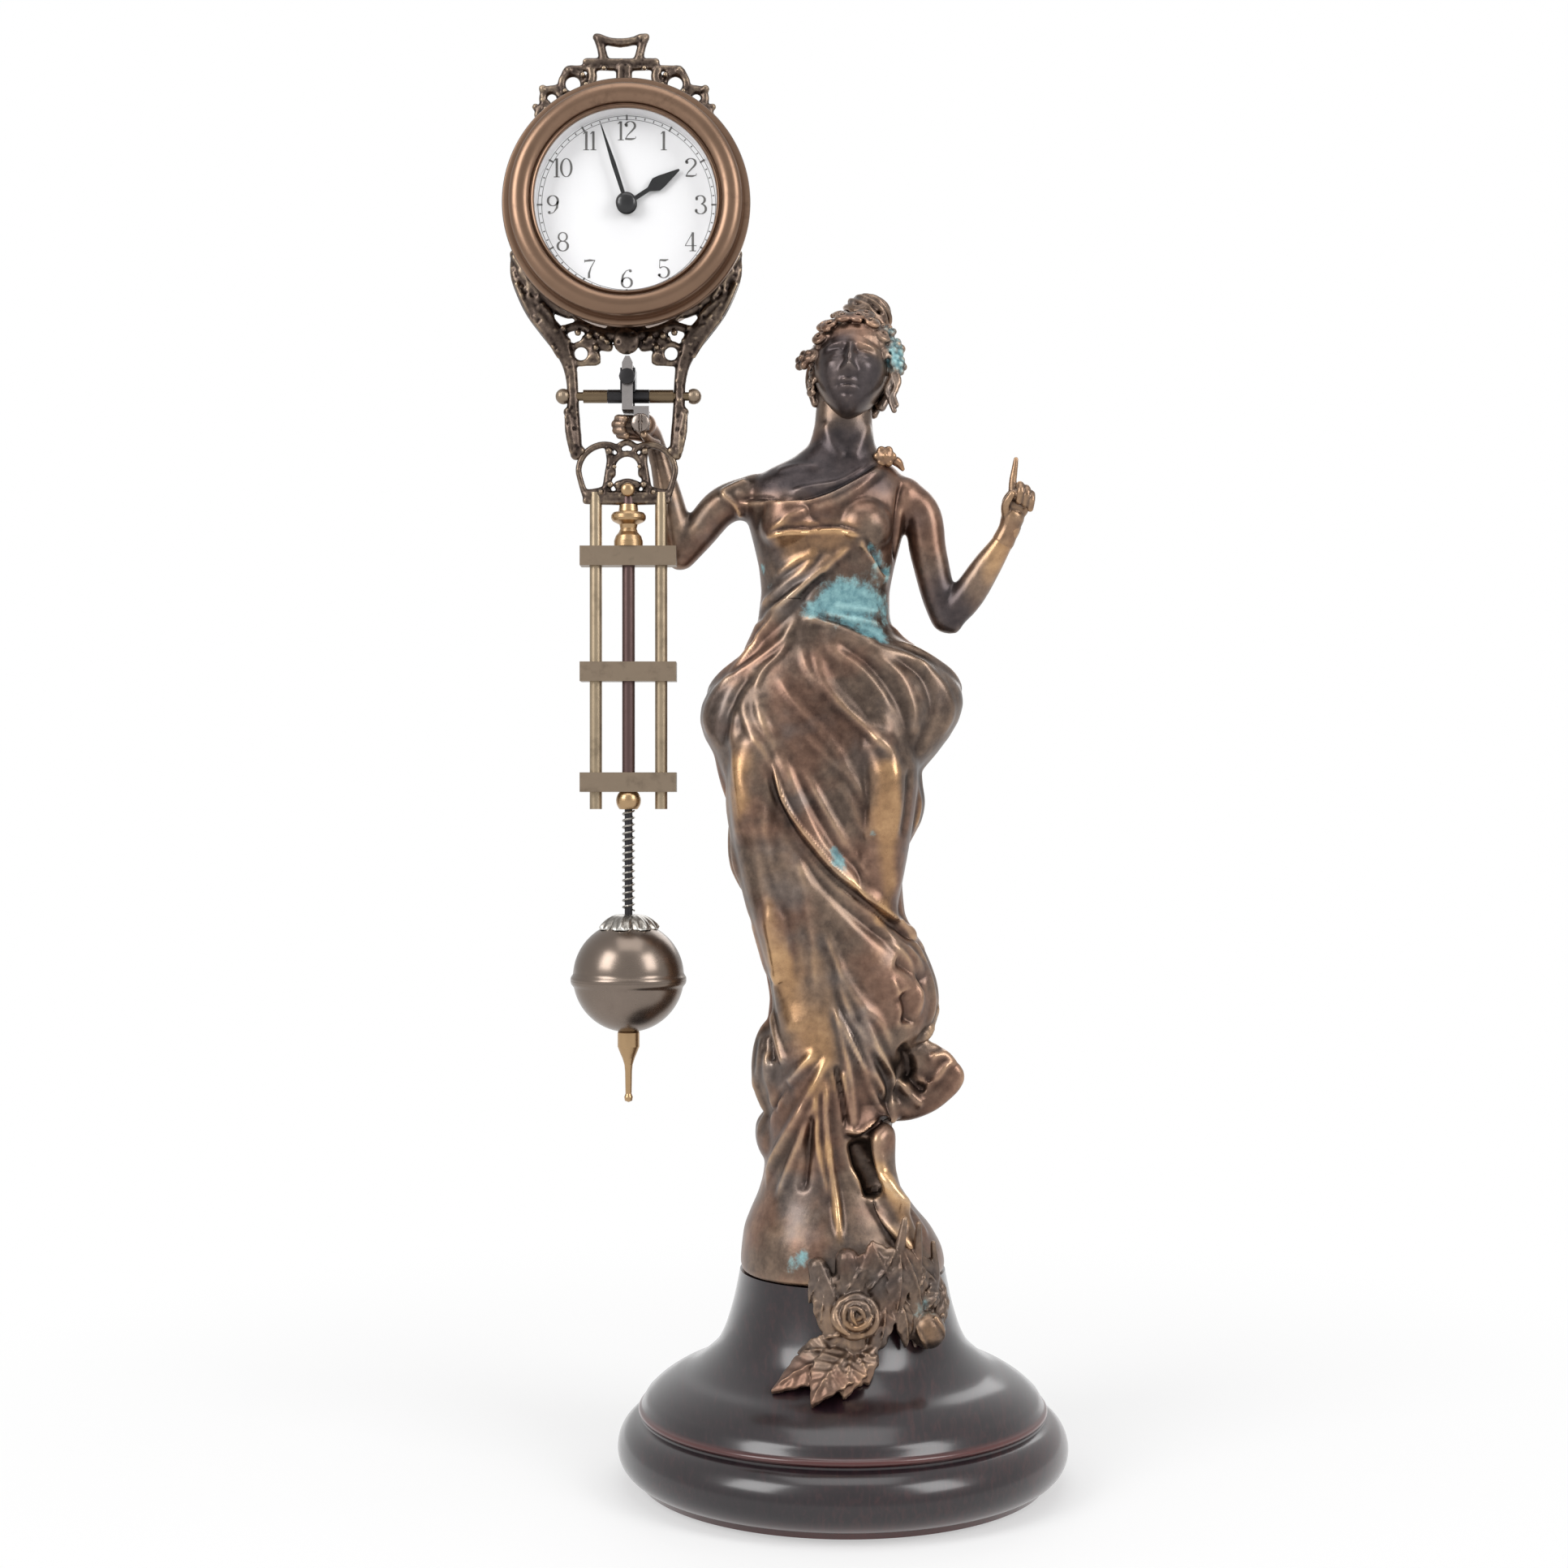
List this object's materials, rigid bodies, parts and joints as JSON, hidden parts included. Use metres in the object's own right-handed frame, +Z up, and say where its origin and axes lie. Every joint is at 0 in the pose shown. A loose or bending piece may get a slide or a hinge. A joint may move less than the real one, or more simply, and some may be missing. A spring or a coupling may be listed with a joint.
{
  "type": "mystery clock",
  "caption": "Mystery clock: a draped bronze figure on a turned wooden base holds up a fork from which a clock on a long rod with a heavy ball swings freely.",
  "frame": {"origin": "centre of the felt's underside, on the surface the clock stands on", "axes": "+Z up, the figure and the dial face -Y, +X to the viewer's right; the pendulum hangs at -X"},
  "size_m": [0.1378, 0.1104, 0.3519],
  "materials": {
    "wood": "polished dark mahogany",
    "felt": "felt",
    "zinc_steel": "plain",
    "bronze": "bronzed, rubbed, patches of verdigris",
    "dark_bronze": "dark bronzed",
    "bright_steel": "satin",
    "dark_steel": "blackened",
    "copper_brown": "satin antique copper",
    "frame_brown": "antique brown",
    "olive_brass": "aged brass",
    "plum_lacquer": "dark lacquer",
    "warm_brass": "satin",
    "movement_brass": "bright",
    "gunmetal": "smooth dark pewter",
    "iron_core": "plain",
    "glass": "clear",
    "dial_white": "printed white",
    "hand_black": "black"
  },
  "bodies": {
    "stand": {"base_wood": "wood", "base_felt": "felt", "base_bolt": "zinc_steel", "base_washer": "zinc_steel", "figure_foot": "bronze", "figure_mound": "bronze", "figure_dress": "bronze", "figure_torso": "bronze", "figure_head": "dark_bronze", "figure_arm_raised": "dark_bronze", "figure_arm_pointing": "dark_bronze", "rose_spray": "dark_bronze", "suspension_fork": "bright_steel", "fork_screw": "bright_steel"},
    "gimbal": {"gimbal_hub": "dark_steel", "pivot_pin": "bright_steel"},
    "pendulum": {"crossbar": "frame_brown", "crossbar_nut_l": "olive_brass", "crossbar_nut_r": "olive_brass", "lyre_frame": "frame_brown", "crown": "frame_brown", "palmette": "frame_brown", "palmette_stud": "warm_brass", "vase_collar": "warm_brass", "side_rod_l": "olive_brass", "side_rod_r": "olive_brass", "centre_rod": "plum_lacquer", "cross_plate_top": "olive_brass", "cross_plate_mid": "olive_brass", "cross_plate_low": "olive_brass", "ball_nut": "warm_brass", "threaded_rod": "bright_steel", "spring": "bright_steel", "case_drum": "copper_brown", "bezel": "copper_brown", "sight_ring": "copper_brown", "glass": "glass", "dial": "dial_white", "front_plate": "movement_brass", "back_plate": "movement_brass", "pillars": "movement_brass"},
    "bob": {"bob_cap": "bright_steel", "bob_upper": "gunmetal", "bob_lower": "gunmetal", "bob_core": "iron_core"},
    "nut": {"rating_nut": "warm_brass"},
    "minute": {"minute_hand": "hand_black", "cannon_pinion": "movement_brass", "centre_wheel": "movement_brass", "setting_knob": "warm_brass"},
    "hour": {"hour_hand": "hand_black", "hour_wheel": "movement_brass"},
    "motion": {"minute_wheel": "movement_brass"},
    "barrel": {"barrel": "movement_brass"},
    "third": {"third_wheel": "movement_brass"},
    "escape": {"escape_wheel": "movement_brass"},
    "winding": {"winding_arbor": "bright_steel"},
    "inner": {"inner_pendulum": "movement_brass"},
    "cover": {"back_cover": "copper_brown"}
  },
  "joints": [
    {"name": "swing", "type": "hinge", "parent": "stand", "child": "gimbal", "pos_m": [-0.052, -0.01, 0.2686], "axis": [0, 1, 0], "range_deg": [-6, 6]},
    {"name": "tilt", "type": "hinge", "parent": "gimbal", "child": "pendulum", "pos_m": [-0.052, -0.01, 0.2642], "axis": [1, 0, 0], "range_deg": [-3, 3]},
    {"name": "bob_slide", "type": "slide", "parent": "pendulum", "child": "bob", "axis": [0, 0, 1], "range_m": [-0.002, 0.002], "deforming": ["spring"]},
    {"name": "nut_turn", "type": "hinge", "parent": "bob", "child": "nut", "pos_m": [-0.052, -0.01, 0.105], "axis": [0, 0, 1], "range_deg": [-1030, 1030]},
    {"name": "minute_spin", "type": "hinge", "parent": "pendulum", "child": "minute", "pos_m": [-0.052, -0.01, 0.309], "axis": [0, 1, 0], "continuous": true},
    {"name": "hour_spin", "type": "hinge", "parent": "pendulum", "child": "hour", "pos_m": [-0.052, -0.01, 0.309], "axis": [0, 1, 0], "continuous": true},
    {"name": "motion_spin", "type": "hinge", "parent": "pendulum", "child": "motion", "pos_m": [-0.05045, -0.01, 0.3032], "axis": [0, 1, 0], "continuous": true},
    {"name": "barrel_spin", "type": "hinge", "parent": "pendulum", "child": "barrel", "pos_m": [-0.0606, -0.01, 0.30298], "axis": [0, 1, 0], "continuous": true},
    {"name": "third_spin", "type": "hinge", "parent": "pendulum", "child": "third", "pos_m": [-0.04379, -0.01, 0.3112], "axis": [0, 1, 0], "continuous": true},
    {"name": "escape_spin", "type": "hinge", "parent": "pendulum", "child": "escape", "pos_m": [-0.04573, -0.01, 0.31843], "axis": [0, 1, 0], "continuous": true},
    {"name": "winding", "type": "hinge", "parent": "pendulum", "child": "winding", "pos_m": [-0.0606, -0.01, 0.30298], "axis": [0, 1, 0], "continuous": true},
    {"name": "inner_swing", "type": "hinge", "parent": "pendulum", "child": "inner", "pos_m": [-0.04272, -0.01, 0.32408], "axis": [0, 1, 0], "range_deg": [-4, 4]},
    {"name": "cover_slide", "type": "slide", "parent": "pendulum", "child": "cover", "axis": [0, 1, 0], "range_m": [0, 0.02]}
  ],
  "couplings": [
    {"joint": "nut_turn", "follows": "bob_slide", "rad_per_m": 8976},
    {"joint": "hour_spin", "follows": "minute_spin", "ratio": 0.083333},
    {"joint": "motion_spin", "follows": "minute_spin", "ratio": -0.33333},
    {"joint": "barrel_spin", "follows": "minute_spin", "ratio": -0.16667},
    {"joint": "third_spin", "follows": "minute_spin", "ratio": -7.5},
    {"joint": "escape_spin", "follows": "minute_spin", "ratio": 56.25}
  ]
}
